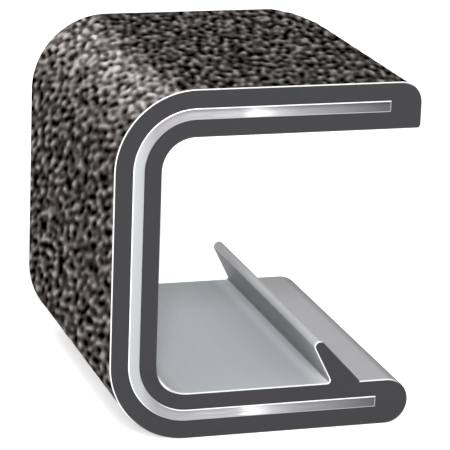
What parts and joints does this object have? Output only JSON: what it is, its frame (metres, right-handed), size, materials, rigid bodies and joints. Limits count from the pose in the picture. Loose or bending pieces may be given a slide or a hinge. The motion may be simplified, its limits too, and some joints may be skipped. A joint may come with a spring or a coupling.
{
  "type": "edge trim seal",
  "caption": "Short length of U-section push-on edge trim: grained flexible PVC drawn on a bent sheet-metal core, with a gripping fin inside its lower leg.",
  "frame": {"origin": "on the surface that the lower leg rests on, under the middle of the part's box", "axes": "+Y along the extrusion, away from the cut end that the picture shows; +X out of the channel's mouth; +Z from the lower leg, which carries the fin, to the upper leg"},
  "size_m": [0.0132, 0.0148, 0.015],
  "materials": {
    "pvc": "flexible PVC, leather-grained outside, smooth inside, saw-cut ends",
    "core_metal": "bright rolled strip, cut flush with the ends"
  },
  "bodies": {
    "root": {"pvc_channel": "pvc", "metal_core": "core_metal"}
  },
  "joints": []
}
